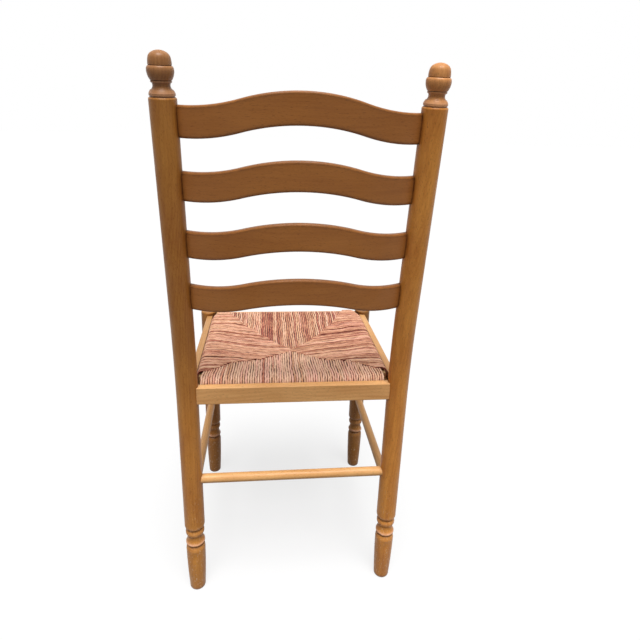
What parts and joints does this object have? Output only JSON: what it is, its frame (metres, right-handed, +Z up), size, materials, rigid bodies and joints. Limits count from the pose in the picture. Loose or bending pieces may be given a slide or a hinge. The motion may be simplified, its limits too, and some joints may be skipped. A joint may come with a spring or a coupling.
{
  "type": "ladderback chair",
  "caption": "Upright wooden dining chair with round turned posts, bowed wavy back slats, round stretchers and a woven rush seat.",
  "frame": {"origin": "on the floor, under the middle of the chair's overall width and depth", "axes": "+Z up, +Y to the back of the chair (the sitter faces -Y), +X to the sitter's left"},
  "size_m": [0.429, 0.48, 1.012],
  "materials": {
    "frame_wood": "satin lacquer, mid brown with a fine straight grain",
    "inner_wood": "bare sawn wood",
    "rush": "twisted rush cord, matt, in straw, pink-tan and brown strands",
    "screw": "zinc-plated"
  },
  "bodies": {
    "root": {"back_post_left": "frame_wood", "back_post_right": "frame_wood", "block_screws": "screw", "corner_block_1": "inner_wood", "corner_block_2": "inner_wood", "corner_block_3": "inner_wood", "corner_block_4": "inner_wood", "finial_left": "frame_wood", "finial_right": "frame_wood", "front_leg_left": "frame_wood", "front_leg_right": "frame_wood", "rush_seat": "rush", "seat_frame_front": "inner_wood", "seat_frame_left": "inner_wood", "seat_frame_rear": "inner_wood", "seat_frame_right": "inner_wood", "seat_rail_front": "frame_wood", "seat_rail_left": "frame_wood", "seat_rail_rear": "frame_wood", "seat_rail_right": "frame_wood", "seat_screws": "screw", "slat_bottom": "frame_wood", "slat_lower": "frame_wood", "slat_top": "frame_wood", "slat_upper": "frame_wood", "stretcher_front": "frame_wood", "stretcher_left": "frame_wood", "stretcher_rear": "frame_wood", "stretcher_right": "frame_wood"}
  },
  "joints": []
}
